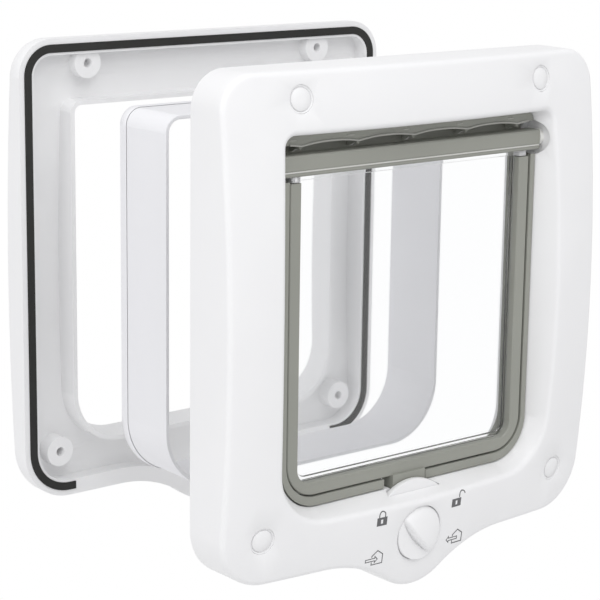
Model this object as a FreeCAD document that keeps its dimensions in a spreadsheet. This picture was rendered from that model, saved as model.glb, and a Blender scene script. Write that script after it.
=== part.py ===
import FreeCAD, Part
import math
import os
from FreeCAD import Placement, Rotation, Vector

# A four-way locking cat flap with its tunnel, drawn pulled apart along the door's thickness.
# X is the width, +Y runs through the door from the room to the garden, +Z is up.
# The origin is midway between the four fixing screws, on the front frame's door side.

doc = FreeCAD.newDocument("cat_flap")
sizes = doc.addObject("Spreadsheet::Sheet", "sizes")

DRIVING_SIZES = (
    # both frames' outline, seen from the room
    ("frame_width", 222.6),
    ("frame_above_mouth", 28.0),
    ("frame_side_width", 34.8),
    ("frame_below_knob", 8.3),
    ("top_corner_radius", 17.0),
    ("low_corner_radius", 24.5),
    ("lobe_radius", 26.8),
    ("sweep_radius", 65.0),
    ("knob_below_sill", 26.4),
    # the crowned front moulding
    ("front_depth", 35.8),
    ("crown_radius", 820.0),
    ("crown_height", -7.7),
    ("side_draft", 0.4),
    ("face_edge_round", 3.0),
    ("shell_wall", 2.4),
    ("rib_wall", 1.6),
    ("rib_setback", 4.0),
    # fixing screws and their caps
    ("top_screw_inset", 39.3),
    ("top_screw_drop", 12.3),
    ("low_screw_inset", 20.8),
    ("low_screw_rise", 22.2),
    ("screw_hole_radius", 2.3),
    ("screw_post_radius", 7.5),
    ("bolt_head_radius", 4.5),
    ("bolt_head_room", 3.5),
    ("cap_radius", 6.0),
    ("cap_thickness", 2.4),
    ("cap_clearance", 0.25),
    ("cap_sink", 0.3),
    ("cap_chamfer", 0.35),
    # the front frame's opening
    ("mouth_side_flare", 31.5),
    ("mouth_floor_flare", 22.5),
    ("mouth_above_hinge", 13.3),
    ("mouth_top_radius", 5.0),
    ("mouth_low_radius", 30.0),
    ("throat_below_sill", 4.9),
    ("throat_behind_crown", 16.3),
    ("throat_low_radius", 21.0),
    # the tunnel and the collars that it slides over
    ("tunnel_shelf", 6.8),
    ("tunnel_below_mouth_top", 2.0),
    ("tunnel_wall", 1.8),
    ("tunnel_top_radius", 8.0),
    ("tunnel_low_radius", 30.0),
    ("tunnel_start", 55.0),
    ("tunnel_length", 36.5),
    ("tunnel_band_length", 5.0),
    ("tunnel_band_height", 0.6),
    ("collar_clearance", 0.3),
    ("collar_wall", 2.2),
    ("collar_reach", 6.0),
    # the grey surround that the flap closes against
    ("surround_side_width", 3.5),
    ("surround_gap", 0.7),
    ("surround_behind_crown", 15.8),
    ("surround_shelf_from_door", 6.0),
    ("surround_flange_thickness", 2.5),
    ("surround_flange_clearance", 0.3),
    ("sill_top", -84.5),
    ("sill_radius", 21.5),
    ("rail_setback", 2.0),
    ("rail_wall", 1.6),
    ("rail_lip_above_hinge", 6.6),
    ("rail_arch_pitch", 32.7),
    ("rail_arch_rise", 1.4),
    ("rail_rib_above_hinge", 4.4),
    ("apron_above_hinge", 3.5),
    ("apron_behind_hinge", 7.3),
    ("surround_screw_inset", 1.75),
    ("surround_screw_below_hinge", 28.0),
    ("surround_screw_pitch", 51.0),
    ("surround_screw_radius", 1.25),
    ("surround_screw_head_radius", 2.6),
    ("surround_screw_head_height", 1.8),
    ("surround_screw_length", 8.0),
    # the hinge
    ("hinge_height", 68.0),
    ("hinge_behind_crown", 18.8),
    ("pocket_radius", 8.1),
    ("pocket_cheek", 1.7),
    ("bar_sweep_radius", 6.2),
    ("bar_end_gap", 0.8),
    ("bar_above_hinge", 4.0),
    ("bar_below_hinge", 5.5),
    ("bar_before_hinge", 4.3),
    ("bar_behind_hinge", 4.3),
    ("bar_corner_radius", 1.2),
    ("bar_groove", 0.7),
    ("pin_radius", 1.6),
    ("pin_length", 11.0),
    ("pin_engagement", 3.4),
    ("bearing_radius", 4.0),
    ("bearing_length", 3.8),
    ("running_clearance", 0.06),
    ("fit_clearance", 0.03),
    # the flap
    ("flap_side_gap", 0.8),
    ("flap_sill_gap", 0.8),
    ("border_face_width", 6.2),
    ("border_before_hinge", 2.7),
    ("border_thickness", 7.0),
    ("border_corner_radius", 20.7),
    ("border_bar_gap", 3.0),
    ("pane_before_back", 2.4),
    ("pane_thickness", 1.8),
    ("pane_tuck", 1.6),
    ("pane_rim_width", 2.2),
    ("pane_rim_height", 0.9),
    ("pane_bar_tuck", 3.5),
    ("pane_shoulder_setback", 0.7),
    ("pane_shoulder_clearance", 0.3),
    ("tab_width", 20.0),
    ("tab_drop", 7.5),
    ("tab_clearance", 1.0),
    ("magnet_length", 20.0),
    ("magnet_height", 4.0),
    ("magnet_thickness", 4.0),
    ("magnet_setback", 1.5),
    ("magnet_offset", 38.0),
    ("keeper_height", 2.6),
    # the lock
    ("knob_radius", 13.0),
    ("knob_recess_clearance", 0.4),
    ("knob_recess_depth", 10.1),
    ("knob_seat_thickness", 1.2),
    ("knob_rim_stand", 0.5),
    ("knob_crown_stand", 4.0),
    ("knob_ridge_radius", 35.0),
    ("knob_ridge_slope", 0.8),
    ("knob_ridge_offset", 4.8),
    ("knob_ridge_angle", 221.0),
    ("knob_shaft_radius", 5.0),
    ("knob_dish_radius", 15.6),
    ("knob_dish_depth", 0.7),
    ("disc_radius", 24.9),
    ("disc_thickness", 3.0),
    ("disc_flat_angle", 226.0),
    ("disc_flat_distance", 18.5),
    ("disc_seat_gap", 0.2),
    ("disc_edge_clearance", 0.4),
    ("disc_hub_wall", 2.5),
    ("lock_spigot_radius", 3.0),
    ("lock_spigot_length", 4.6),
    ("lock_screw_radius", 1.4),
    ("lock_screw_length", 6.0),
    ("lock_screw_head_radius", 4.2),
    ("lock_screw_head_height", 1.8),
    # the rear frame and its seal
    ("rear_rim_position", 138.0),
    ("rear_overhang", 0.7),
    ("rear_depth", 15.6),
    ("rear_bow_radius", 1100.0),
    ("rear_bow_height", -12.0),
    ("rear_rim_width", 8.0),
    ("rear_post_stand", 2.0),
    ("rear_mouth_inset", 3.4),
    ("seal_groove_width", 4.0),
    ("seal_groove_depth", 2.2),
    ("seal_edge_inset", 2.8),
    ("seal_stand", 0.6),
    ("seal_side_clearance", 0.1),
    ("seal_end_inset", 28.3),
)
for row, (alias, value) in enumerate(DRIVING_SIZES, start=1):
    sizes.set("A%d" % row, alias.replace("_", " "))
    sizes.set("B%d" % row, str(value))
    sizes.setAlias("B%d" % row, alias)
doc.recompute()


class Length(float):
    """A length in millimetres that keeps the formula it was worked out with."""

    def __new__(cls, value, formula):
        length = super().__new__(cls, value)
        length.formula = formula
        return length

    def __add__(self, other):
        return Length(float(self) + float(other), "(%s + %s)" % (self.formula, formula(other)))

    def __radd__(self, other):
        return Length(float(other) + float(self), "(%s + %s)" % (formula(other), self.formula))

    def __sub__(self, other):
        return Length(float(self) - float(other), "(%s - %s)" % (self.formula, formula(other)))

    def __rsub__(self, other):
        return Length(float(other) - float(self), "(%s - %s)" % (formula(other), self.formula))

    def __mul__(self, other):
        return Length(float(self) * float(other), "(%s * %s)" % (self.formula, formula(other)))

    __rmul__ = __mul__

    def __truediv__(self, other):
        return Length(float(self) / float(other), "(%s / %s)" % (self.formula, formula(other)))

    def __neg__(self):
        return Length(-float(self), "(0 - %s)" % self.formula)


def formula(value):
    return value.formula if isinstance(value, Length) else repr(float(value))


def size(alias):
    """A driving size as a length that is still tied to its cell."""
    return Length(sizes.get(alias), "sizes." + alias)


def bind(item, name, value):
    """Set a property, by expression where the value comes from the sheet."""
    if isinstance(value, Length):
        item.setExpression(name, value.formula)
    else:
        setattr(item, name, float(value))


def bind_place(item, x, y, z, turn=Rotation()):
    """Place an item, each coordinate tied to the sheet where it comes from there."""
    item.Placement = Placement(Vector(x, y, z), turn)
    for axis, value in zip("xyz", (x, y, z)):
        if isinstance(value, Length):
            item.setExpression("Placement.Base." + axis, value.formula)


# Places that follow from the driving sizes

HALF_WIDTH = size("frame_width") / 2
HINGE = size("hinge_height")
SILL = size("sill_top")
KNOB = SILL - size("knob_below_sill")
MOUTH_TOP = HINGE + size("mouth_above_hinge")
FRAME_TOP = MOUTH_TOP + size("frame_above_mouth")
FRAME_LOW = KNOB - size("frame_below_knob")
THROAT_HALF = HALF_WIDTH - size("frame_side_width")
THROAT_LOW = SILL - size("throat_below_sill")
COLLAR_HALF = THROAT_HALF + size("tunnel_shelf")
COLLAR_TOP = MOUTH_TOP - size("tunnel_below_mouth_top")
COLLAR_LOW = THROAT_LOW - size("tunnel_shelf")
TUNNEL_GROW = size("collar_clearance") + size("tunnel_wall")
COLLAR_TOP_RADIUS = size("tunnel_top_radius") - TUNNEL_GROW
COLLAR_LOW_RADIUS = size("tunnel_low_radius") - TUNNEL_GROW
SURROUND_HALF = THROAT_HALF - size("surround_gap")
APERTURE_HALF = THROAT_HALF - size("surround_side_width")
BORDER_HALF = APERTURE_HALF - size("flap_side_gap")
BORDER_LOW = SILL + size("flap_sill_gap")

# How far each of these stands from the door
THROAT_DEPTH = size("front_depth") - size("throat_behind_crown")
SURROUND_DEPTH = size("front_depth") - size("surround_behind_crown")
RAIL_DEPTH = SURROUND_DEPTH - size("rail_setback")
HINGE_DEPTH = size("front_depth") - size("hinge_behind_crown")
APRON_DEPTH = HINGE_DEPTH - size("apron_behind_hinge")
KNOB_FLOOR = size("front_depth") - size("knob_recess_depth")

BORDER_FRONT = -(HINGE_DEPTH + size("border_before_hinge"))
BORDER_BACK = BORDER_FRONT + size("border_thickness")
POCKET_HALF = THROAT_HALF + size("pocket_cheek")
BAR_HALF = POCKET_HALF - size("bar_end_gap")
BAR_LOW = HINGE - size("bar_below_hinge")
BAR_TOP = HINGE + size("bar_above_hinge")
PANE_BACK = BORDER_BACK - size("pane_before_back") + size("pane_thickness")
PANE_FRONT = PANE_BACK - size("pane_thickness")
PANE_HALF = BORDER_HALF - size("border_face_width") + size("pane_tuck")
DISC_FRONT = -KNOB_FLOOR + size("knob_seat_thickness") + size("disc_seat_gap")
TAB_WAY_HALF = size("tab_width") / 2 + size("tab_clearance")
TAB_WAY_LOW = BORDER_LOW - size("tab_drop") - size("tab_clearance")
SCREW_PLACES = tuple(
    (side * (HALF_WIDTH - size(inset)), row)
    for inset, row in (("top_screw_inset", FRAME_TOP - size("top_screw_drop")),
                       ("low_screw_inset", FRAME_LOW + size("low_screw_rise")))
    for side in (-1, 1)
)
SURROUND_SCREWS = tuple(
    (side * (THROAT_HALF + size("surround_screw_inset")),
     HINGE - size("surround_screw_below_hinge") - row * size("surround_screw_pitch"))
    for row in range(3) for side in (-1, 1)
)

FACE_ON = Rotation(Vector(1, 0, 0), 90)
SIDE_ON = Rotation(Vector(1, 1, 1), 120)
BEYOND = 20.0


def crown_depth(x, z):
    """How far the crowned front face stands from the door at a place."""
    rise = z - size("crown_height")
    return size("front_depth") - size("crown_radius") + math.sqrt(size("crown_radius") ** 2 - x ** 2 - rise ** 2)


def crown_tilt(x, z):
    """The turn that lays the Y axis square to the crowned face at a place."""
    inward = Vector(-x, size("crown_radius") - size("front_depth") + crown_depth(x, z), size("crown_height") - z)
    return Rotation(Vector(0, 1, 0), inward)


def rear_bow(z, depth):
    """How far the rear face stands from its rim at a height, for the depth at the bow's middle."""
    rise = z - size("rear_bow_height")
    return depth - size("rear_bow_radius") + math.sqrt(size("rear_bow_radius") ** 2 - rise ** 2)


# Outlines, as lists of lines and arcs in a sketch's own plane

def line(x1, y1, x2, y2):
    return Part.LineSegment(Vector(x1, y1, 0), Vector(x2, y2, 0))


def arc(x, y, radius, start, end):
    circle = Part.Circle(Vector(x, y, 0), Vector(0, 0, 1), radius)
    return Part.ArcOfCircle(circle, math.radians(start), math.radians(end))


def frame_outline(inset):
    """The frames' outline: square shoulders, large lower corners and a lobe that carries the knob."""
    half = HALF_WIDTH - inset
    top = FRAME_TOP - inset
    low = FRAME_LOW + inset
    shoulder = size("top_corner_radius") - inset
    heel = size("low_corner_radius") - inset
    lobe = size("lobe_radius") - inset
    sweep = size("sweep_radius") + inset
    knob = KNOB
    drop = knob - low + sweep
    reach = math.sqrt((lobe + sweep) ** 2 - drop ** 2)
    turn = math.degrees(math.atan2(drop, reach))
    return [
        arc(0, knob, lobe, turn - 180, -turn),
        arc(reach, low - sweep, sweep, 90, 180 - turn),
        line(reach, low, half - heel, low),
        arc(half - heel, low + heel, heel, -90, 0),
        line(half, low + heel, half, top - shoulder),
        arc(half - shoulder, top - shoulder, shoulder, 0, 90),
        line(half - shoulder, top, shoulder - half, top),
        arc(shoulder - half, top - shoulder, shoulder, 90, 180),
        line(-half, top - shoulder, -half, low + heel),
        arc(heel - half, low + heel, heel, 180, 270),
        line(heel - half, low, -reach, low),
        arc(-reach, low - sweep, sweep, turn, 90),
    ]


def window(half, low, top, low_radius, top_radius):
    """A rectangle with one radius at its lower corners and another at its upper ones."""
    return [
        line(low_radius - half, low, half - low_radius, low),
        arc(half - low_radius, low + low_radius, low_radius, -90, 0),
        line(half, low + low_radius, half, top - top_radius),
        arc(half - top_radius, top - top_radius, top_radius, 0, 90),
        line(half - top_radius, top, top_radius - half, top),
        arc(top_radius - half, top - top_radius, top_radius, 90, 180),
        line(-half, top - top_radius, -half, low + low_radius),
        arc(low_radius - half, low + low_radius, low_radius, 180, 270),
    ]


def collar_window(inset):
    return window(
        COLLAR_HALF - inset, COLLAR_LOW + inset, COLLAR_TOP - inset,
        COLLAR_LOW_RADIUS - inset, COLLAR_TOP_RADIUS - inset,
    )


def chain(points):
    """Straight lines from each point to the next."""
    return [line(a[0], a[1], b[0], b[1]) for a, b in zip(points, points[1:])]


def arc_through(start, middle, end):
    return Part.Arc(Vector(*start), Vector(*middle), Vector(*end))


# Document helpers for the pieces that are built from drawings and booleans

def drawing(name, outline, position=0.0, turn=FACE_ON):
    """A sketch across the door (FACE_ON, at a Y) or along it (SIDE_ON, at an X)."""
    sketch = doc.addObject("Sketcher::SketchObject", name)
    if turn is FACE_ON:
        bind_place(sketch, 0, position, 0, turn)
    else:
        bind_place(sketch, position, 0, 0, turn)
    for edge in outline:
        sketch.addGeometry(edge, False)
    return sketch


def extrusion(name, sketch, direction, length, both_ways=False, draft=0.0):
    solid = doc.addObject("Part::Extrusion", name)
    solid.Base = sketch
    solid.DirMode = "Custom"
    solid.Dir = direction
    solid.Solid = True
    solid.Symmetric = both_ways
    solid.TaperAngle = draft
    bind(solid, "LengthFwd", length)
    return solid


def plate(name, outline, front, back):
    """A straight solid of a face-on outline between two depths."""
    return extrusion(name, drawing(name + "_outline", outline, front), Vector(0, 1, 0), back - front)


def rod(name, x, z, radius, front, back):
    """A round bar along Y between two depths."""
    solid = doc.addObject("Part::Cylinder", name)
    bind(solid, "Radius", radius)
    bind(solid, "Height", back - front)
    bind_place(solid, x, front, z, Rotation(Vector(1, 0, 0), -90))
    return solid


def cross_rod(name, start, end, y, z, radius):
    """A round bar along X."""
    solid = doc.addObject("Part::Cylinder", name)
    bind(solid, "Radius", radius)
    bind(solid, "Height", end - start)
    bind_place(solid, start, y, z, Rotation(Vector(0, 1, 0), 90))
    return solid


def block(name, low, high):
    solid = doc.addObject("Part::Box", name)
    for side, near, far in zip(("Length", "Width", "Height"), low, high):
        bind(solid, side, far - near)
    bind_place(solid, *low)
    return solid


def join(name, *parts):
    result = doc.addObject("Part::MultiFuse", name)
    result.Shapes = list(parts)
    return result


def cut(name, base, *tools):
    result = doc.addObject("Part::Cut", name)
    result.Base = base
    result.Tool = tools[0] if len(tools) == 1 else join(name + "_tools", *tools)
    return result


def common(name, base, tool):
    result = doc.addObject("Part::Common", name)
    result.Base = base
    result.Tool = tool
    return result


def edges_on(shape, on_face):
    """Numbers of the edges that lie on a surface, told by a test of a point."""
    found = []
    for number, edge in enumerate(shape.Edges, start=1):
        reach = edge.LastParameter - edge.FirstParameter
        spots = [edge.valueAt(edge.FirstParameter + share * reach) for share in (0, 0.37, 0.5, 1)]
        if all(on_face(spot) for spot in spots):
            found.append(number)
    return found


def rounded(name, base, on_face, radius):
    """A fillet of the edges that lie on a surface."""
    doc.recompute()
    result = doc.addObject("Part::Fillet", name)
    result.Base = base
    result.Edges = [(number, radius, radius) for number in edges_on(base.Shape, on_face)]
    return result


# Document helpers for the pieces that are made as one body with its features

def new_body(name):
    body = doc.addObject("PartDesign::Body", name)
    body.Label = name
    return body


def body_sketch(body, name, plane, outline, offset=0.0):
    sketch = body.newObject("Sketcher::SketchObject", name)
    origin_plane = [item for item in body.Origin.OriginFeatures if item.Role == plane][0]
    sketch.AttachmentSupport = [(origin_plane, "")]
    sketch.MapMode = "FlatFace"
    sketch.AttachmentOffset = Placement(Vector(0, 0, offset), Rotation())
    for edge in outline:
        sketch.addGeometry(edge, False)
    return sketch


def body_feature(body, kind, name, sketch, length, backward=True):
    """A pad or pocket. Backward runs along +Y from a sketch on the XZ plane."""
    feature = body.newObject("PartDesign::" + kind, name)
    feature.Profile = sketch
    feature.Reversed = backward
    bind(feature, "Length", length)
    return feature


def turned(name, profile, x, z):
    """A turned piece on an axis along Y: its profile has radii as X and depths as Y."""
    body = new_body(name)
    sketch = body_sketch(body, name + "_profile", "XY_Plane", profile)
    turn = body.newObject("PartDesign::Revolution", name + "_turn")
    turn.Profile = sketch
    turn.ReferenceAxis = (sketch, ["V_Axis"])
    turn.Angle = 360.0
    body.Placement = Placement(Vector(x, 0, z), Rotation())
    return body


# Front frame: one white moulding, a crowned shell with the flap's mouth, screw posts and the lock's seat

def front_blank(name, inset):
    """The front frame's outer form, or with an inset its hollow."""
    sides = extrusion(name + "_sides", drawing(name + "_outline", frame_outline(inset)),
                      Vector(0, -1, 0), size("front_depth") + BEYOND, draft=-size("side_draft"))
    crown = doc.addObject("Part::Sphere", name + "_crown")
    bind(crown, "Radius", size("crown_radius") - inset)
    bind_place(crown, 0, size("crown_radius") - size("front_depth"), size("crown_height"))
    return common(name, sides, crown)


def on_crown(point):
    """Whether a point lies on the crowned face."""
    centre = Vector(0, size("crown_radius") - size("front_depth"), size("crown_height"))
    return abs(point.distanceToPoint(centre) - size("crown_radius")) < 0.01


def throat(name, grow=0.0, front=-THROAT_DEPTH, back=-size("surround_shelf_from_door")):
    """The straight part of the mouth, or with growth the wall round it."""
    return plate(name, window(THROAT_HALF + grow, THROAT_LOW - grow, MOUTH_TOP + grow,
                              size("throat_low_radius") + grow, size("mouth_top_radius") + grow), front, back)


def mouth_funnel():
    """The flare from the throat out through the crowned face."""
    reach = size("front_depth") + 1 - THROAT_DEPTH
    side_spread = reach * math.tan(math.radians(size("mouth_side_flare")))
    floor_spread = reach * math.tan(math.radians(size("mouth_floor_flare")))
    outer = drawing("mouth_outline", window(
        THROAT_HALF + side_spread, THROAT_LOW - floor_spread, MOUTH_TOP,
        size("mouth_low_radius"), size("mouth_top_radius")), -size("front_depth") - 1)
    inner = drawing("throat_outline", window(
        THROAT_HALF, THROAT_LOW, MOUTH_TOP,
        size("throat_low_radius"), size("mouth_top_radius")), -THROAT_DEPTH)
    funnel = doc.addObject("Part::Loft", "mouth_funnel")
    funnel.Sections = [outer, inner]
    funnel.Solid = True
    funnel.Ruled = True
    return funnel


def front_ribs():
    """Stiffening ribs between the mouth's wall and the shell, short of the door side."""
    ribs = []
    back = -size("rib_setback")
    front = -size("front_depth")
    thick = size("rib_wall") / 2
    for number, height in enumerate((45, 0, -45)):
        for side in (-1, 1):
            ends = sorted((side * (COLLAR_HALF - 1), side * HALF_WIDTH))
            ribs.append(block("side_rib_%d%s" % (number, "lr"[side > 0]),
                              (ends[0], front, height - thick), (ends[1], back, height + thick)))
    for number, place in enumerate((-36, 0, 36)):
        ribs.append(block("top_rib_%d" % number, (place - thick, front, MOUTH_TOP + thick),
                          (place + thick, back, FRAME_TOP)))
    for number, place in enumerate((-58, 58)):
        ribs.append(block("low_rib_%d" % number, (place - thick, front, FRAME_LOW),
                          (place + thick, back, COLLAR_LOW + thick)))
    return ribs


def screw_posts(name, front, back):
    return [rod("%s_%d" % (name, number), x, z, size("screw_post_radius"), front, back)
            for number, (x, z) in enumerate(SCREW_PLACES)]


def make_front_frame():
    knob = KNOB
    shelf = -size("surround_shelf_from_door")
    skin = cut("front_skin", front_blank("front_form", 0), front_blank("front_hollow", size("shell_wall")))
    wall = throat("mouth_wall", COLLAR_HALF - THROAT_HALF + size("shell_wall"), -size("front_depth"), shelf)
    seat = rod("knob_seat", 0, knob, size("knob_dish_radius") + size("shell_wall"), -size("front_depth"),
               -KNOB_FLOOR + size("knob_seat_thickness"))
    inner = common("front_inner", front_blank("front_limit", size("shell_wall") / 2), join(
        "front_inner_parts", wall, seat, *(screw_posts("front_post", -size("front_depth"), 0) + front_ribs())))
    collar = plate("front_collar", collar_window(0), shelf - 1, size("collar_reach"))
    opened = cut("front_opened", join("front_body", skin, inner, collar), mouth_funnel())
    body = rounded("front_rounded", opened, on_crown, size("face_edge_round"))

    passage = plate("front_passage", collar_window(size("collar_wall")), shelf, size("collar_reach") + 1)
    pocket = cross_rod("bar_pocket", -POCKET_HALF, POCKET_HALF,
                       -HINGE_DEPTH, HINGE, size("pocket_radius"))
    bearing_end = POCKET_HALF + size("bearing_length") + size("fit_clearance")
    sockets = cross_rod("bearing_sockets", -bearing_end, bearing_end, -HINGE_DEPTH,
                        HINGE, size("bearing_radius") + size("fit_clearance"))
    disc_room = size("disc_radius") + size("disc_edge_clearance")
    disc_front = DISC_FRONT - size("disc_seat_gap")
    disc_slot = rod("disc_slot", 0, knob, disc_room, disc_front, BORDER_FRONT)
    disc_relief = common("disc_relief", rod("disc_relief_round", 0, knob, disc_room, disc_front, BEYOND),
                         block("disc_relief_reach", (-disc_room, disc_front, knob - disc_room),
                               (disc_room, BEYOND, COLLAR_LOW - size("shell_wall"))))
    tab_slot = block("tab_slot", (-TAB_WAY_HALF, DISC_FRONT, TAB_WAY_LOW), (TAB_WAY_HALF, shelf, SILL))
    tools = [passage, throat("front_throat", back=shelf + size("surround_flange_thickness")), pocket, sockets,
             disc_slot, disc_relief, tab_slot, crown_cone("knob_dish", 0, knob, size("knob_dish_radius"),
                                                         size("knob_radius"), size("knob_dish_depth"))]
    for number, (x, z) in enumerate(SCREW_PLACES):
        tools.append(cap_recess(number, x, z))
        head_seat = size("cap_sink") + size("cap_thickness") + size("bolt_head_room") - crown_depth(x, z)
        tools.append(rod("bolt_head_room_%d" % number, x, z, size("bolt_head_radius"), -size("front_depth"),
                         head_seat))
        tools.append(rod("front_screw_hole_%d" % number, x, z, size("screw_hole_radius"), head_seat - 1, 1))
    tools.append(rod("knob_recess", 0, knob, size("knob_radius") + size("knob_recess_clearance"),
                     -size("front_depth") - 1, -KNOB_FLOOR))
    tools.append(rod("knob_hole", 0, knob, size("knob_shaft_radius") + size("running_clearance"),
                     -size("front_depth"), 0))
    pilot_start = shelf + size("surround_flange_thickness") - size("surround_screw_length") - 0.5
    for number, (x, z) in enumerate(SURROUND_SCREWS):
        tools.append(rod("surround_pilot_%d" % number, x, z,
                         size("surround_screw_radius") + size("fit_clearance"), pilot_start, shelf + 1))
    return cut("front_frame", body, *tools)


def cap_recess(number, x, z):
    """The round recess that a screw cap drops into, square to the crowned face."""
    recess = doc.addObject("Part::Cylinder", "cap_recess_%d" % number)
    bind(recess, "Radius", size("cap_radius") + size("cap_clearance"))
    bind(recess, "Height", 2 * size("cap_thickness") + 2 * size("cap_sink"))
    tilt = crown_tilt(x, z)
    middle = Vector(x, -crown_depth(x, z), z)
    half = tilt.multVec(Vector(0, float(size("cap_thickness") + size("cap_sink")), 0))
    recess.Placement = Placement(middle - half, tilt.multiply(Rotation(Vector(1, 0, 0), -90)))
    return recess


def crown_cone(name, x, z, wide, narrow, depth):
    """A shallow round dish in the crowned face, square to it."""
    dish = doc.addObject("Part::Cone", name)
    bind(dish, "Radius1", wide + (wide - narrow))
    bind(dish, "Radius2", narrow)
    bind(dish, "Height", 2 * depth)
    tilt = crown_tilt(x, z)
    start = Vector(x, -crown_depth(x, z), z) - tilt.multVec(Vector(0, float(depth), 0))
    dish.Placement = Placement(start, tilt.multiply(Rotation(Vector(1, 0, 0), -90)))
    return dish


# Grey surround: the fixed inner frame that the flap closes against, screwed in from the door side

def rail_arches():
    """The opening under the top rail's lip: a row of flat arches that meet in low cusps."""
    pitch = size("rail_arch_pitch")
    low = HINGE + size("rail_lip_above_hinge")
    crown = low + size("rail_arch_rise")
    bays = 3
    arches = [Part.Arc(Vector(bay * pitch, low, 0), Vector((bay + 0.5) * pitch, crown, 0),
                       Vector((bay + 1) * pitch, low, 0)) for bay in range(-bays, bays)]
    end = bays * pitch
    foot = HINGE
    sides = [line(-end, low, -end, foot), line(-end, foot, end, foot), line(end, foot, end, low)]
    return plate("rail_arches", arches + sides, -SURROUND_DEPTH - 1,
                 -APRON_DEPTH)


def rail_ribs():
    """Thin ribs inside the top rail, one behind each cusp, cut clear of the turning bar."""
    thick = size("rib_wall") / 2
    front = -RAIL_DEPTH + size("rib_wall") / 4
    foot = HINGE + size("rail_rib_above_hinge")
    ribs = [block("rail_rib_%d" % number, (number * size("rail_arch_pitch") - thick, front, foot),
                  (number * size("rail_arch_pitch") + thick, -APRON_DEPTH + 1,
                   MOUTH_TOP - size("surround_gap"))) for number in range(-2, 3)]
    sweep = cross_rod("bar_sweep", -SURROUND_HALF, SURROUND_HALF, -HINGE_DEPTH,
                      HINGE, size("bar_sweep_radius"))
    return cut("rail_ribs", join("rail_rib_blanks", *ribs), sweep)


def make_surround():
    front = -SURROUND_DEPTH
    shelf = -size("surround_shelf_from_door")
    back = shelf + size("surround_flange_thickness")
    rail_front = -RAIL_DEPTH
    wall = throat("surround_wall", -size("surround_gap"), front, back)
    flange = plate("surround_flange", collar_window(size("collar_wall") + size("surround_flange_clearance")),
                   shelf, back)
    aperture = plate("surround_aperture", window(
        APERTURE_HALF, SILL, HINGE + size("apron_above_hinge"), size("sill_radius"), 1.0), front - 1, back + 1)
    setback = block("rail_setback", (-THROAT_HALF, front - 1, HINGE),
                    (THROAT_HALF, rail_front, MOUTH_TOP))
    cavity = block("rail_cavity", (-APERTURE_HALF, rail_front + size("rail_wall"), HINGE),
                   (APERTURE_HALF, -APRON_DEPTH,
                    MOUTH_TOP - size("surround_gap") - size("rail_wall")))
    pocket = cross_rod("surround_pocket", -THROAT_HALF, THROAT_HALF, -HINGE_DEPTH,
                       HINGE, size("pocket_radius"))
    tab_way = block("tab_way", (-TAB_WAY_HALF, front - 1, TAB_WAY_LOW),
                    (TAB_WAY_HALF, back + 1, SILL + 1))
    magnet = size("magnet_offset")
    half = size("magnet_length") / 2 + size("fit_clearance")
    near = BORDER_FRONT + size("magnet_setback")
    keeper = block("keeper_pocket", (magnet - half, near, SILL - size("keeper_height")),
                   (magnet + half, near + size("magnet_thickness") + size("fit_clearance"), SILL + 1))
    holes = [rod("surround_screw_hole_%d" % number, x, z, size("surround_screw_radius") + size("running_clearance"),
                 shelf - 1, back + 1) for number, (x, z) in enumerate(SURROUND_SCREWS)]
    shell = cut("surround_shell", join("surround_body", wall, flange), aperture, setback, cavity, rail_arches(),
                pocket, tab_way, keeper, *holes)
    return join("flap_surround", shell, rail_ribs())


def make_surround_screws():
    back = -size("surround_shelf_from_door") + size("surround_flange_thickness")
    parts = []
    for number, (x, z) in enumerate(SURROUND_SCREWS):
        parts.append(rod("surround_shank_%d" % number, x, z, size("surround_screw_radius"),
                         back - size("surround_screw_length"), back))
        parts.append(rod("surround_head_%d" % number, x, z, size("surround_screw_head_radius"),
                         back, back + size("surround_screw_head_height")))
    return join("surround_screws", *parts)


# Screw caps: white plugs that hide the four fixing screws

def make_screw_cap(number, x, z):
    body = new_body("screw_cap_%d" % number)
    sketch = body_sketch(body, "cap_%d_outline" % number, "XZ_Plane", [Part.Circle(
        Vector(0, 0, 0), Vector(0, 0, 1), size("cap_radius"))])
    body_feature(body, "Pad", "cap_%d_pad" % number, sketch, size("cap_thickness"))
    doc.recompute()
    edge = body.newObject("PartDesign::Chamfer", "cap_%d_edge" % number)
    rim = [i for i, e in enumerate(body.Shape.Edges, start=1) if e.Closed and abs(e.BoundBox.YMin) < 0.01]
    edge.Base = (doc.getObject("cap_%d_pad" % number), ["Edge%d" % rim[0]])
    bind(edge, "Size", size("cap_chamfer"))
    tilt = crown_tilt(x, z)
    sink = tilt.multVec(Vector(0, float(size("cap_sink")), 0))
    body.Placement = Placement(Vector(x, -crown_depth(x, z), z) + sink, tilt)
    return body


# Hinge: steel pins in the bar's ends, turning in bearings set in the front frame

def make_bearing(name, side):
    start = POCKET_HALF
    ends = sorted((side * start, side * (start + size("bearing_length"))))
    outer = cross_rod(name + "_outer", ends[0], ends[1], -HINGE_DEPTH, HINGE,
                      size("bearing_radius"))
    bore = cross_rod(name + "_bore", ends[0] - 1, ends[1] + 1, -HINGE_DEPTH, HINGE,
                     size("pin_radius") + size("running_clearance"))
    return cut(name, outer, bore)


def make_pin(name, side):
    tip = POCKET_HALF + size("pin_engagement")
    ends = sorted((side * tip, side * (tip - size("pin_length"))))
    return cross_rod(name, ends[0], ends[1], -HINGE_DEPTH, HINGE, size("pin_radius"))


# Hinge bar: the flap's grey top rail, slotted below for the pane

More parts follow.
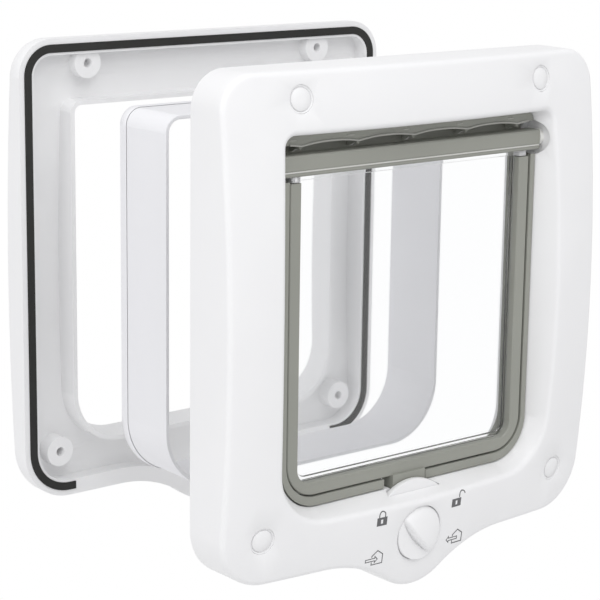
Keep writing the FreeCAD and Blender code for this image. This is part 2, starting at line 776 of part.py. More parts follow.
def make_hinge_bar():
    half = BAR_HALF
    hinge = -HINGE_DEPTH
    front = hinge - size("bar_before_hinge")
    back = hinge + size("bar_behind_hinge")
    round_off = size("bar_corner_radius")
    groove = size("bar_groove")
    groove_at = BAR_LOW + 2.2
    profile = [
        line(front + round_off, BAR_LOW, back - round_off, BAR_LOW),
        arc(back - round_off, BAR_LOW + round_off, round_off, -90, 0),
        line(back, BAR_LOW + round_off, back, BAR_TOP - round_off),
        arc(back - round_off, BAR_TOP - round_off, round_off, 0, 90),
        line(back - round_off, BAR_TOP, front + round_off, BAR_TOP),
        arc(front + round_off, BAR_TOP - round_off, round_off, 90, 180),
        line(front, BAR_TOP - round_off, front, groove_at + groove),
        line(front, groove_at + groove, front + groove, groove_at),
        line(front + groove, groove_at, front, groove_at - groove),
        line(front, groove_at - groove, front, BAR_LOW + round_off),
        arc(front + round_off, BAR_LOW + round_off, round_off, 180, 270),
    ]
    bar = extrusion("hinge_bar_solid", drawing("hinge_bar_profile", profile, 0, SIDE_ON),
                    Vector(1, 0, 0), 2 * BAR_HALF, both_ways=True)
    clear = size("fit_clearance")
    slot = block("bar_slot", (-PANE_HALF - clear, PANE_FRONT - clear, BAR_LOW - 1),
                 (PANE_HALF + clear, PANE_BACK + clear, BAR_LOW + size("pane_bar_tuck") + clear))
    tools = [slot]
    tip = POCKET_HALF + size("pin_engagement")
    for side in (-1, 1):
        ends = sorted((side * (tip - size("pin_length")), side * (half + 1)))
        tools.append(cross_rod("bar_pin_hole_%s" % "lr"[side > 0], ends[0], ends[1], hinge, HINGE,
                               size("pin_radius") + size("fit_clearance")))
    return cut("hinge_bar", bar, *tools)


# Flap border: the grey channel round the pane's sides and foot, with the tab that the lock holds

def make_border():
    top = BAR_LOW - size("border_bar_gap")
    width = size("border_face_width")
    outer = plate("border_outer", window(BORDER_HALF, BORDER_LOW, top, size("border_corner_radius"), 0.5),
                  BORDER_FRONT, BORDER_BACK)
    tab_half = size("tab_width") / 2
    tab = block("border_tab", (-tab_half, BORDER_FRONT, BORDER_LOW - size("tab_drop")),
                (tab_half, BORDER_BACK, BORDER_LOW + 1))
    daylight = plate("border_daylight", window(
        BORDER_HALF - width, BORDER_LOW + width, top + 20, size("border_corner_radius") - width, 0.5),
        BORDER_FRONT - 1, BORDER_BACK + 1)
    clear = size("fit_clearance")
    channel = plate("border_channel", window(
        PANE_HALF + clear, BORDER_LOW + width - size("pane_tuck") - clear, top + 20,
        size("border_corner_radius") - width + size("pane_tuck") + clear, 0.5),
        PANE_FRONT - clear, PANE_BACK + clear)
    half = size("magnet_length") / 2 + clear
    near = BORDER_FRONT + size("magnet_setback")
    pocket = block("flap_magnet_pocket", (size("magnet_offset") - half, near - clear, BORDER_LOW - 1),
                   (size("magnet_offset") + half, near + size("magnet_thickness") + clear,
                    BORDER_LOW + size("magnet_height")))
    return cut("flap_border", join("border_blank", outer, tab), daylight, channel, pocket)


# Pane: clear moulded sheet with a raised rim, held in the bar and the border

def make_pane():
    low = BORDER_LOW + size("border_face_width") - size("pane_tuck")
    top = BAR_LOW + size("pane_bar_tuck")
    radius = size("border_corner_radius") - size("border_face_width") + size("pane_tuck")
    sheet = plate("pane_sheet", window(PANE_HALF, low, top, radius, 0.5), PANE_FRONT, PANE_BACK)
    rim_out = size("pane_tuck") + size("fit_clearance") + 0.1
    rim_in = rim_out + size("pane_rim_width")
    rim_top = BAR_LOW - 0.5
    rim = plate("pane_rim", window(PANE_HALF - rim_out, low + rim_out, rim_top, radius - rim_out, 0.5),
                PANE_FRONT - size("pane_rim_height"), PANE_FRONT + 0.1)
    field = plate("pane_field", window(PANE_HALF - rim_in, low + rim_in, rim_top - size("pane_rim_width"),
                                       radius - rim_in, 0.5),
                  PANE_FRONT - size("pane_rim_height") - 1, PANE_FRONT)
    setback = size("pane_shoulder_setback")
    clear = size("pane_shoulder_clearance")
    shoulders = []
    for side in (-1, 1):
        ends = sorted((side * (PANE_HALF - size("pane_tuck")), side * (BORDER_HALF - clear)))
        shoulders.append(block("pane_shoulder_%s" % "lr"[side > 0],
                               (ends[0], BORDER_FRONT + setback, BAR_LOW - size("border_bar_gap") + clear),
                               (ends[1], BORDER_BACK - setback, BAR_LOW - clear)))
    return join("flap_pane", cut("pane_dished", join("pane_blank", sheet, rim), field), *shoulders)


# Magnets: one in the flap's foot and its keeper in the sill, which hold the flap shut

def make_magnets():
    low_x = size("magnet_offset") - size("magnet_length") / 2
    high_x = size("magnet_offset") + size("magnet_length") / 2
    near = BORDER_FRONT + size("magnet_setback")
    far = near + size("magnet_thickness")
    flap = block("flap_magnet", (low_x, near, BORDER_LOW + 0.2), (high_x, far, BORDER_LOW + size("magnet_height")))
    keeper = block("keeper_magnet", (low_x, near + size("fit_clearance"), SILL - size("keeper_height")),
                   (high_x, far, SILL - 0.2))
    return [flap, keeper]


# Lock: a rotary knob, its disc behind the face, and the screw that holds the two together

def make_knob():
    knob = KNOB
    floor = -KNOB_FLOOR - 0.1
    face = -crown_depth(0, knob)
    rim_front = face - size("knob_rim_stand")
    crown = face - size("knob_crown_stand")
    spigot_end = DISC_FRONT + size("lock_spigot_length")
    bore = size("lock_screw_radius") + size("fit_clearance")
    bore_start = spigot_end - size("lock_screw_length")
    radius = size("knob_radius")
    shaft = size("knob_shaft_radius")
    spigot = size("lock_spigot_radius")
    dome = arc_through((0, crown), (radius * 0.55, crown + (rim_front - crown) * 0.24), (radius, rim_front))
    steps = [(radius, rim_front), (radius, floor), (shaft, floor), (shaft, DISC_FRONT), (spigot, DISC_FRONT),
             (spigot, spigot_end), (bore, spigot_end), (bore, bore_start), (0, bore_start), (0, crown)]
    blank = turned("knob_blank", [dome] + chain(steps), 0, knob)
    thumb = doc.addObject("Part::Cone", "knob_thumb")
    reach = size("knob_ridge_radius")
    bind(thumb, "Radius1", reach - size("knob_ridge_slope"))
    bind(thumb, "Radius2", reach + size("knob_ridge_slope"))
    thumb.Height = 2 * (rim_front - crown)
    away = reach - size("knob_ridge_offset")
    angle = math.radians(size("knob_ridge_angle") - 180)
    thumb.Placement = Placement(Vector(away * math.cos(angle), 2 * crown - rim_front, knob + away * math.sin(angle)),
                                Rotation(Vector(1, 0, 0), -90))
    scoop = cut("knob_scoop", rod("knob_scoop_round", 0, knob, radius + 1, crown - 1, rim_front), thumb)
    return cut("lock_knob", blank, scoop)


def make_disc():
    knob = KNOB
    back = DISC_FRONT + size("disc_thickness")
    hub_end = DISC_FRONT + size("lock_spigot_length")
    disc = rod("disc_blank", 0, knob, size("disc_radius"), DISC_FRONT, back)
    hub = rod("disc_hub", 0, knob, size("lock_spigot_radius") + size("disc_hub_wall"), back, hub_end)
    bore = rod("disc_bore", 0, knob, size("lock_spigot_radius") + size("fit_clearance"), DISC_FRONT - 1, hub_end + 1)
    flat = doc.addObject("Part::Box", "disc_flat")
    bind(flat, "Length", size("disc_radius"))
    bind(flat, "Width", size("disc_thickness") + 2)
    bind(flat, "Height", 2 * size("disc_radius"))
    turn = Rotation(Vector(0, 1, 0), -size("disc_flat_angle"))
    corner = Vector(size("disc_flat_distance"), DISC_FRONT - 1, -size("disc_radius"))
    flat.Placement = Placement(Vector(0, 0, knob), turn).multiply(Placement(corner, Rotation()))
    return cut("lock_disc", join("disc_with_hub", disc, hub), bore, flat)


def make_lock_screw():
    knob = KNOB
    seat = DISC_FRONT + size("lock_spigot_length")
    shank = rod("lock_shank", 0, knob, size("lock_screw_radius"), seat - size("lock_screw_length") + 0.3, seat)
    head = rod("lock_head", 0, knob, size("lock_screw_head_radius"), seat, seat + size("lock_screw_head_height"))
    return join("lock_screw", shank, head)


# Tunnel: the thin white liner between the two frames, with a band round its garden end

def make_tunnel():
    start = size("tunnel_start")
    end = start + size("tunnel_length")

    def section(inset):
        grow = TUNNEL_GROW - inset
        return window(COLLAR_HALF + grow, COLLAR_LOW - grow, COLLAR_TOP + grow,
                      size("tunnel_low_radius") - inset, size("tunnel_top_radius") - inset)

    body = new_body("tunnel")
    wall = body_sketch(body, "tunnel_outline", "XZ_Plane", section(0))
    body_feature(body, "Pad", "tunnel_pad", wall, size("tunnel_length"))
    band = body_sketch(body, "tunnel_band_outline", "XZ_Plane", section(-size("tunnel_band_height")),
                       -(size("tunnel_length") - size("tunnel_band_length")))
    body_feature(body, "Pad", "tunnel_band", band, size("tunnel_band_length"))
    bore = body_sketch(body, "tunnel_bore_outline", "XZ_Plane", section(size("tunnel_wall")))
    pocket = body_feature(body, "Pocket", "tunnel_bore", bore, end)
    pocket.Type = "ThroughAll"
    pocket.Midplane = True
    body.Placement = Placement(Vector(0, start, 0), Rotation())
    return body


# Rear frame: the garden-side moulding, with posts for the screws, a collar and a grooved rim

def rear_slab(name, depth):
    """Everything between the rear rim and a bowed face at a depth."""
    door = size("rear_rim_position")
    tall = size("frame_width")
    ends = [door + rear_bow(z, depth) for z in (tall, -tall)]
    bow = arc_through((ends[0], tall), (door + depth, size("rear_bow_height")), (ends[1], -tall))
    outline = [bow] + chain([(ends[1], -tall), (door - 5, -tall), (door - 5, tall), (ends[0], tall)])
    return extrusion(name, drawing(name + "_outline", outline, 0, SIDE_ON), Vector(1, 0, 0), 2 * tall,
                     both_ways=True)


def on_rear_bow(point):
    """Whether a point lies on the rear frame's bowed face."""
    axis_y = size("rear_rim_position") + size("rear_depth") - size("rear_bow_radius")
    away = math.hypot(point.y - axis_y, point.z - size("rear_bow_height"))
    return abs(away - size("rear_bow_radius")) < 0.01


def make_rear_frame():
    door = size("rear_rim_position")
    depth = size("rear_depth")
    far = door + depth + 1
    wall = size("shell_wall")
    grow = -size("rear_overhang")
    form = common("rear_form", plate("rear_sides", frame_outline(grow), door, far), rear_slab("rear_face", depth))
    shell = rounded("rear_shell", form, on_rear_bow, size("face_edge_round"))
    hollow = common("rear_hollow", plate("rear_hollow_sides", frame_outline(grow + size("rear_rim_width")),
                                         door - 1, far), rear_slab("rear_hollow_face", depth - wall))
    fittings = common("rear_fittings", join(
        "rear_fitting_parts", plate("rear_collar", collar_window(0), door, far),
        *screw_posts("rear_post", door + size("rear_post_stand"), far)), rear_slab("rear_limit", depth - wall / 2))
    inset = size("collar_wall")
    inner = drawing("rear_mouth_inner", collar_window(inset), door - 1)
    outer_inset = inset + size("rear_mouth_inset")
    outer = drawing("rear_mouth_outer", window(
        COLLAR_HALF - inset, COLLAR_LOW + outer_inset, COLLAR_TOP - inset,
        COLLAR_LOW_RADIUS - inset, COLLAR_TOP_RADIUS - inset), far)
    mouth = doc.addObject("Part::Loft", "rear_mouth")
    mouth.Sections = [inner, outer]
    mouth.Solid = True
    mouth.Ruled = True
    tools = [mouth, seal_ring("seal_groove", 0, door, door + size("seal_groove_depth"))]
    for number, (x, z) in enumerate(SCREW_PLACES):
        tools.append(rod("rear_screw_hole_%d" % number, x, z, size("screw_hole_radius"), door,
                         door + rear_bow(z, depth) - wall - 0.4))
    return cut("rear_frame", join("rear_body", cut("rear_skin", shell, hollow), fittings), *tools)


def seal_ring(name, clearance, front, back):
    """The seal's path round the rim, open below between the two lower corners."""
    outside = -size("rear_overhang") + size("seal_edge_inset") + clearance
    inside = outside + size("seal_groove_width") - 2 * clearance
    ring = cut(name + "_loop", plate(name + "_outside", frame_outline(outside), front, back),
               plate(name + "_inside", frame_outline(inside), front - 1, back + 1))
    half = HALF_WIDTH - size("seal_end_inset") + clearance
    gap = block(name + "_gap", (-half, front - 1, KNOB - 2 * size("lobe_radius")),
                (half, back + 1, FRAME_LOW + size("seal_groove_width") * 3))
    return cut(name, ring, gap)


def make_rear_seal():
    door = size("rear_rim_position")
    return seal_ring("rear_seal", size("seal_side_clearance"), door - size("seal_stand"),
                     door + size("seal_groove_depth"))


pieces = [
    make_front_frame(),
    make_surround(),
    make_surround_screws(),
    make_bearing("hinge_bearing_left", -1),
    make_bearing("hinge_bearing_right", 1),
    make_pin("hinge_pin_left", -1),
    make_pin("hinge_pin_right", 1),
    make_hinge_bar(),
    make_border(),
    make_pane(),
    make_knob(),
    make_disc(),
    make_lock_screw(),
    make_tunnel(),
    make_rear_frame(),
    make_rear_seal(),
]
pieces += make_magnets()
pieces += [make_screw_cap(number, x, z) for number, (x, z) in enumerate(SCREW_PLACES, start=1)]
doc.recompute()

for item in doc.Objects:
    if "Invalid" in item.State or "Error" in item.State:
        raise RuntimeError("%s did not build: %s" % (item.Name, item.State))
os.makedirs("parts", exist_ok=True)
for piece in pieces:
    piece.Label = piece.Name
    shape = piece.Shape
    if shape.isNull() or not shape.isValid():
        raise RuntimeError("%s has no sound solid" % piece.Label)
    shape.exportStep("parts/%s.step" % piece.Label)
    box = shape.BoundBox
    print("%-20s solids %d volume %9.1f  x %.1f %.1f  y %.1f %.1f  z %.1f %.1f" % (
        piece.Label, len(shape.Solids), shape.Volume, box.XMin, box.XMax, box.YMin, box.YMax, box.ZMin, box.ZMax))
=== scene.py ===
import math

import bmesh
import bpy
from mathutils import Matrix, Vector
from mathutils.bvhtree import BVHTree


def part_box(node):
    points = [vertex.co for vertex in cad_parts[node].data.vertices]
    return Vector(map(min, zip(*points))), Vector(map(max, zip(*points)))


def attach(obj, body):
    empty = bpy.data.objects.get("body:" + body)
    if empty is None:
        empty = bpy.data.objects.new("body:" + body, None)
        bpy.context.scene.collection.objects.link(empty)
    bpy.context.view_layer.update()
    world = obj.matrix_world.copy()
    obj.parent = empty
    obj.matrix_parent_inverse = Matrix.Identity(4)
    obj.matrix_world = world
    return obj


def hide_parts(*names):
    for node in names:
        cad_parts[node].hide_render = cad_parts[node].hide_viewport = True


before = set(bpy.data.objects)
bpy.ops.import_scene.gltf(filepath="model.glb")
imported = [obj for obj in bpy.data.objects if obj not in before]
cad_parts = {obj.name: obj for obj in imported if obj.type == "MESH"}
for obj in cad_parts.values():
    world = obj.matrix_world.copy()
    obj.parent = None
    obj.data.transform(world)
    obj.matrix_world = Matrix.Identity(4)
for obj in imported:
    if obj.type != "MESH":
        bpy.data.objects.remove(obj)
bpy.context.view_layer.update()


# Front frame: one injection moulding in white ABS, crowned both ways, with a soft edge all round.
# The tool's spark-eroded cavity leaves a fine even grain that breaks the gloss.
WHITE_TONE = (0.868, 0.868, 0.872)


def moulded_plastic(name, tone, gloss, grain_pitch=0.00035, grain_height=0.000012, cloud=0.02):
    """A moulded thermoplastic: faint flow clouding, an even gloss and the grain of its tool."""
    mat = bpy.data.materials.new(name)
    mat.use_nodes = True
    nodes, link = mat.node_tree.nodes, mat.node_tree.links.new
    paint = nodes["Principled BSDF"]
    paint.inputs["IOR"].default_value = 1.46
    place = nodes.new("ShaderNodeTexCoord")
    flow = nodes.new("ShaderNodeTexNoise")
    flow.inputs["Scale"].default_value = 18.0
    flow.inputs["Detail"].default_value = 3.0
    tint = nodes.new("ShaderNodeValToRGB")
    tint.color_ramp.elements[0].position = 0.3
    tint.color_ramp.elements[0].color = (*[c * (1 - cloud) for c in tone], 1)
    tint.color_ramp.elements[1].position = 0.7
    tint.color_ramp.elements[1].color = (*tone, 1)
    grain = nodes.new("ShaderNodeTexNoise")
    grain.inputs["Scale"].default_value = 1 / grain_pitch
    grain.inputs["Detail"].default_value = 2.0
    sheen = nodes.new("ShaderNodeMapRange")
    sheen.inputs["To Min"].default_value = gloss - 0.05
    sheen.inputs["To Max"].default_value = gloss + 0.07
    bump = nodes.new("ShaderNodeBump")
    bump.inputs["Strength"].default_value = 0.3
    bump.inputs["Distance"].default_value = grain_height
    link(place.outputs["Object"], flow.inputs["Vector"])
    link(place.outputs["Object"], grain.inputs["Vector"])
    link(flow.outputs["Fac"], tint.inputs["Fac"])
    link(tint.outputs["Color"], paint.inputs["Base Color"])
    link(grain.outputs["Fac"], sheen.inputs["Value"])
    link(sheen.outputs["Result"], paint.inputs["Roughness"])
    link(grain.outputs["Fac"], bump.inputs["Height"])
    link(bump.outputs["Normal"], paint.inputs["Normal"])
    return mat


def finish_node(node, mat, edge=0.0003):
    """Gives a solid its finish, and the small soft edge that its tool leaves."""
    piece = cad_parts[node]
    piece.data.materials.clear()
    piece.data.materials.append(mat)
    if edge:
        weld = piece.modifiers.new("closed_faces", "WELD")
        weld.merge_threshold = 0.000001
        soft = piece.modifiers.new("soft_edge", "BEVEL")
        soft.width = edge
        soft.segments = 2
        soft.limit_method = "ANGLE"
        soft.angle_limit = math.radians(40)
        soft.harden_normals = True
    return piece


def skinned(name, rings, closed_rings, closed_way):
    """A solid skinned over rings of equal count; what is not closed is capped."""
    built = bmesh.new()
    rows = [[built.verts.new(point) for point in ring] for ring in rings]
    count = len(rows[0])
    way = len(rows) if closed_way else len(rows) - 1
    for i in range(way):
        near, far = rows[i], rows[(i + 1) % len(rows)]
        for j in range(count if closed_rings else count - 1):
            k = (j + 1) % count
            built.faces.new([near[j], near[k], far[k], far[j]])
    if closed_rings and not closed_way:
        built.faces.new(rows[0])
        built.faces.new(rows[-1])
    if closed_way and not closed_rings:
        built.faces.new([row[0] for row in rows])
        built.faces.new([row[-1] for row in rows])
    bmesh.ops.recalc_face_normals(built, faces=built.faces)
    mesh = bpy.data.meshes.new(name)
    built.to_mesh(mesh)
    built.free()
    piece = bpy.data.objects.new(name, mesh)
    bpy.context.scene.collection.objects.link(piece)
    return piece


def slab(name, low, high):
    """A plain block, used as a cutter or joined to a piece."""
    corners = [(low[0], low[2]), (high[0], low[2]), (high[0], high[2]), (low[0], high[2])]
    return skinned(name, [[Vector((x, y, z)) for x, z in corners] for y in (low[1], high[1])], True, False)


def trimmed(piece, tool, operation):
    """Cuts the tool from the piece, or joins it on, and leaves one closed mesh."""
    step = piece.modifiers.new("trim", "BOOLEAN")
    step.operation = operation
    step.solver = "EXACT"
    step.object = tool
    shaped = piece.evaluated_get(bpy.context.evaluated_depsgraph_get())
    mesh = bpy.data.meshes.new_from_object(shaped)
    piece.modifiers.clear()
    piece.data = mesh
    bpy.data.objects.remove(tool)
    return piece


def node_copy(name, node):
    """A welded copy of a solid's mesh, to be cut further."""
    copied = bmesh.new()
    copied.from_mesh(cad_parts[node].data)
    bmesh.ops.remove_doubles(copied, verts=copied.verts, dist=0.0000005)
    mesh = bpy.data.meshes.new(name)
    copied.to_mesh(mesh)
    copied.free()
    piece = bpy.data.objects.new(name, mesh)
    bpy.context.scene.collection.objects.link(piece)
    return piece


def finish_piece(piece, mat, body, edge=0.0002, stands_for=()):
    """Shades a modelled piece smooth between its edges, softens them, and hangs it on its body."""
    piece.data.materials.clear()
    piece.data.materials.append(mat)
    for face in piece.data.polygons:
        face.use_smooth = True
        face.material_index = 0
    piece.data.set_sharp_from_angle(angle=math.radians(32))
    if edge:
        soft = piece.modifiers.new("soft_edge", "BEVEL")
        soft.width = edge
        soft.segments = 2
        soft.limit_method = "ANGLE"
        soft.angle_limit = math.radians(40)
        soft.harden_normals = True
    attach(piece, body)
    if stands_for:
        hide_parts(*stands_for)
    return piece


white_abs = moulded_plastic("white_abs", WHITE_TONE, 0.38)
# The bar's ends run in round pockets cut into the mouth's sides.
POCKET_RADIUS = 0.0083
POCKET_REACH = 0.0803
pin_low, pin_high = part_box("hinge_pin_left")
hinge_y, hinge_z = (pin_low.y + pin_high.y) / 2, (pin_low.z + pin_high.z) / 2
front = node_copy("front_frame_moulding", "front_frame")
bar_pocket = skinned("bar_pocket", [[Vector((x, hinge_y + POCKET_RADIUS * math.cos(t),
                                             hinge_z + POCKET_RADIUS * math.sin(t)))
                                     for t in (math.radians(7.5 * step) for step in range(48))]
                                    for x in (-POCKET_REACH, POCKET_REACH)], True, False)
trimmed(front, bar_pocket, "DIFFERENCE")
finish_piece(front, white_abs, "front", 0.0003, ("front_frame",))


# Lock signs: four signs pad-printed in grey ink on the crowned face round the knob: a shut padlock,
# an open one, and a house with its arrow going in or out.
knob_low, knob_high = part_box("lock_knob")
KNOB_X = (knob_low.x + knob_high.x) / 2
KNOB_Z = (knob_low.z + knob_high.z) / 2
INK_LIFT = 0.00006
INK_LINE = 0.00045

face_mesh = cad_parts["front_frame"].data
face_tree = BVHTree.FromPolygons([v.co for v in face_mesh.vertices],
                                 [p.vertices for p in face_mesh.polygons])


def on_face(x, z, lift):
    """The point of the front face at a place, lifted off it towards the room."""
    hit = face_tree.ray_cast(Vector((x, -0.2, z)), Vector((0, 1, 0)))[0]
    return Vector((x, hit.y - lift, z))


def ink_patch(inked, ring):
    inked.faces.new([inked.verts.new(on_face(x, z, INK_LIFT)) for x, z in ring])


def ink_stroke(inked, points, width=INK_LINE, closed=False):
    """A printed line of one width along the points, mitred at its corners."""
    path = [Vector(p) for p in points]
    count = len(path)
    left, right = [], []
    for i, here in enumerate(path):
        before = path[i - 1] if closed or i else here
        after = path[(i + 1) % count] if closed or i < count - 1 else here
        entry = (here - before).normalized() if here != before else (after - here).normalized()
        leave = (after - here).normalized() if after != here else entry
        along = (entry + leave).normalized()
        across = Vector((-along.y, along.x)) * (width / 2 / max(0.4, along.dot(leave)))
        left.append(here + across)
        right.append(here - across)
    for i in range(count if closed else count - 1):
        j = (i + 1) % count
        ink_patch(inked, [left[i], left[j], right[j], right[i]])


def padlock(inked, x, z, tall, shackle_shift, shackle_lift):
    """A padlock whose shackle stands over its body, or swung aside when it is open."""
    wide = tall * 0.80
    body = tall * 0.56
    keyhole = wide * 0.11
    low, high = z - tall / 2, z - tall / 2 + body
    key_low, key_high = low + body * 0.24, low + body * 0.74
    left, right = x - wide / 2, x + wide / 2
    ink_patch(inked, [(left, low), (x - keyhole, low), (x - keyhole, high), (left, high)])
    ink_patch(inked, [(x + keyhole, low), (right, low), (right, high), (x + keyhole, high)])
    ink_patch(inked, [(x - keyhole, low), (x + keyhole, low), (x + keyhole, key_low), (x - keyhole, key_low)])
    ink_patch(inked, [(x - keyhole, key_high), (x + keyhole, key_high), (x + keyhole, high),
                      (x - keyhole, high)])
    bow = wide * 0.30
    foot = high + shackle_lift
    centre = foot + bow * 0.7
    turns = [(x + shackle_shift + bow * math.cos(t), centre + bow * math.sin(t))
             for t in (math.radians(d) for d in range(0, 181, 20))]
    near = [] if shackle_shift else [(x + shackle_shift + bow, foot)]
    ink_stroke(inked, near + turns + [(x + shackle_shift - bow, foot)], INK_LINE * 1.15)


def house(inked, x, z, wide, arrow_tip, arrow_tail):
    """A house in outline, open at its left wall for a hollow arrow."""
    tall = wide * 1.05
    left, right = x - wide / 2, x + wide / 2
    low, eave, ridge = z - tall / 2, z + tall * 0.16, z + tall / 2
    ink_stroke(inked, [(left, z - tall * 0.30), (left, low), (right, low), (right, eave), (x, ridge),
                       (left, eave), (left, z + tall * 0.04)])
    shaft = wide * 0.10
    head = wide * 0.24
    way = 1 if arrow_tip > arrow_tail else -1
    middle = z - tall * 0.13
    neck = arrow_tip - way * head
    ink_stroke(inked, [(arrow_tip, middle), (neck, middle + head), (neck, middle + shaft),
                       (arrow_tail, middle + shaft), (arrow_tail, middle - shaft),
                       (neck, middle - shaft), (neck, middle - head)],
               INK_LINE * 0.9, closed=True)


printing = bmesh.new()
padlock(printing, KNOB_X - 0.0245, KNOB_Z + 0.0124, 0.0073, 0, 0)
padlock(printing, KNOB_X + 0.0220, KNOB_Z + 0.0124, 0.0073, 0.0034, 0.0004)
house(printing, KNOB_X - 0.0251, KNOB_Z - 0.0070, 0.0064, KNOB_X - 0.0249, KNOB_X - 0.0319)
house(printing, KNOB_X + 0.0251, KNOB_Z - 0.0070, 0.0062, KNOB_X + 0.0181, KNOB_X + 0.0251)
bmesh.ops.recalc_face_normals(printing, faces=printing.faces)
sign_mesh = bpy.data.meshes.new("lock_signs")
printing.to_mesh(sign_mesh)
printing.free()
signs = bpy.data.objects.new("lock_signs", sign_mesh)
bpy.context.scene.collection.objects.link(signs)
film = signs.modifiers.new("ink_film", "SOLIDIFY")
film.thickness = INK_LIFT
grey_ink = moulded_plastic("grey_ink", (0.13, 0.13, 0.135), 0.5, grain_pitch=0.0002, cloud=0.12)
sign_mesh.materials.append(grey_ink)
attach(signs, "front")


# Screw caps: white plugs pushed into the face over the heads of the four fixing bolts.
# They are moulded with the frame, from the same ABS, and a fine dark gap shows round each.
# The disc stands in a small groove inside its soft rim.
CAP_SECTION = [(0.0012, 0.0), (0.0049, 0.0), (0.0050, 0.0001), (0.00505, 0.0008), (0.0053, 0.0008),
               (0.0056, 0.0002), (0.0060, 0.00003), (0.00612, 0.00006), (0.00612, 0.0022), (0.0012, 0.0022)]
CAP_SPOKES = 48
for number in range(1, 5):
    name = "screw_cap_%d" % number
    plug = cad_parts[name].data
    fronts = [face for face in plug.polygons if face.normal.y < -0.9]
    area = sum(face.area for face in fronts)
    axis = -sum((face.normal * face.area for face in fronts), Vector()).normalized()
    seat = sum((face.center * face.area for face in fronts), Vector()) / area
    turned = bmesh.new()
    side = axis.orthogonal().normalized()
    spokes = [Matrix.Rotation(2 * math.pi * spoke / CAP_SPOKES, 3, axis) @ side for spoke in range(CAP_SPOKES)]
    rings = [[turned.verts.new(seat + axis * deep + spoke * wide) for spoke in spokes]
             for wide, deep in CAP_SECTION]
    for near, far in zip(rings, rings[1:]):
        for spoke in range(CAP_SPOKES):
            after = (spoke + 1) % CAP_SPOKES
            turned.faces.new([near[spoke], near[after], far[after], far[spoke]])
    turned.faces.new(rings[0])
    turned.faces.new(rings[-1])
    bmesh.ops.recalc_face_normals(turned, faces=turned.faces)
    cap_mesh = bpy.data.meshes.new(name + "_moulding")
    turned.to_mesh(cap_mesh)
    turned.free()
    for face in cap_mesh.polygons:
        face.use_smooth = True
    cap_mesh.set_sharp_from_angle(angle=math.radians(50))
    cap_mesh.materials.append(white_abs)
    cap = bpy.data.objects.new(name + "_moulding", cap_mesh)
    bpy.context.scene.collection.objects.link(cap)
    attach(cap, "front")
    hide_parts(name)


# Flap surround: the grey frame that the flap closes against, moulded in ABS with an arched top
# rail, and held from the door side by six small screws. The rail's lip has a bead on its edge, painted a
# lighter grey as a painted highlight.
GREY_TONE = (0.305, 0.31, 0.275)
grey_abs = moulded_plastic("grey_abs", GREY_TONE, 0.42, grain_pitch=0.0003, cloud=0.06)
RAIL_FACE = -0.0180
RAIL_WALL = 0.0016
LIP_LOW = 0.07505
ARCH_PITCH = 0.0327
ARCH_RISE = 0.0014
LIP_TOP = 0.0777
RIB_HALF = 0.0004
RIB_FOOT = 0.0738
WALL_FOOT = 0.07095
WALL_TOP = 0.0772
APERTURE_CORNER = 0.0168
border_low, border_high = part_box("flap_border")
surround_low, surround_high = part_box("flap_surround")
TAB_DROP = 0.0075
FLAP_GAP = 0.0008
BORDER_HALF = border_high.x
BORDER_FOOT = border_low.z + TAB_DROP


def rounded_path(half, low, top, corner, y, steps=14, crest=None):
    """Points from the left top down, round the foot and up to the right top; crest closes it above."""
    path = [Vector((-half, y, top))]
    for side, start in ((-1, 180), (1, 270)):
        for step in range(steps + 1):
            turn = math.radians(start + 90 * step / steps)
            path.append(Vector((side * (half - corner) + corner * math.cos(turn), y,
                                low + corner + corner * math.sin(turn))))
    path.append(Vector((half, y, top)))
    if crest:
        path[0].x, path[-1].x = -half + crest, half - crest
        path.insert(1, Vector((-half, y, top - crest)))
        path.insert(-1, Vector((half, y, top - crest)))
    return path


def arch_edge(lift=0.0, steps=10):
    """The lip's lower edge, as X and Z: flat arches that meet in cusps over the ribs."""
    half = BORDER_HALF + FLAP_GAP
    spots = []
    for step in range(-3 * steps, 3 * steps + 1):
        x = step * ARCH_PITCH / steps
        if abs(x) <= half:
            across = (x / ARCH_PITCH) % 1.0
            spots.append((x, LIP_LOW + lift + ARCH_RISE * 4 * across * (1 - across)))
    return spots


surround = node_copy("flap_surround_moulding", "flap_surround")
corner_cut = skinned("corner_cut", [rounded_path(BORDER_HALF + FLAP_GAP, BORDER_FOOT - FLAP_GAP, 0.0,
                                                 APERTURE_CORNER, y)
                                    for y in (surround_low.y - 0.001, surround_high.y + 0.001)],
                     True, False)
trimmed(surround, corner_cut, "DIFFERENCE")
trimmed(surround, slab("tab_way_cut", (-0.0148, surround_low.y - 0.001, surround_low.z + 0.0012),
                       (-0.0105, surround_high.y - 0.0035, BORDER_FOOT)), "DIFFERENCE")
lip_edge = arch_edge()
lip_ring = lip_edge + [(lip_edge[-1][0], LIP_TOP), (lip_edge[0][0], LIP_TOP)]
lip = skinned("rail_lip", [[Vector((x, y, z)) for x, z in lip_ring]
                           for y in (RAIL_FACE - 0.00003, RAIL_FACE + RAIL_WALL + 0.00003)], True, False)
trimmed(surround, lip, "UNION")
BACK_WALL = (-0.0104, -0.0092)
trimmed(surround, slab("rail_back", (-BORDER_HALF - FLAP_GAP - 0.0005, BACK_WALL[0], WALL_FOOT),
                       (BORDER_HALF + FLAP_GAP + 0.0005, BACK_WALL[1], WALL_TOP)), "UNION")
for rib in range(-2, 3):
    middle = rib * ARCH_PITCH
    trimmed(surround, slab("rail_rib", (middle - RIB_HALF, RAIL_FACE + 0.0003, RIB_FOOT),
                           (middle + RIB_HALF, RAIL_FACE + RAIL_WALL - 0.0003, LIP_LOW + 0.0006)), "UNION")
finish_piece(surround, grey_abs, "front", 0.00022, ("flap_surround",))

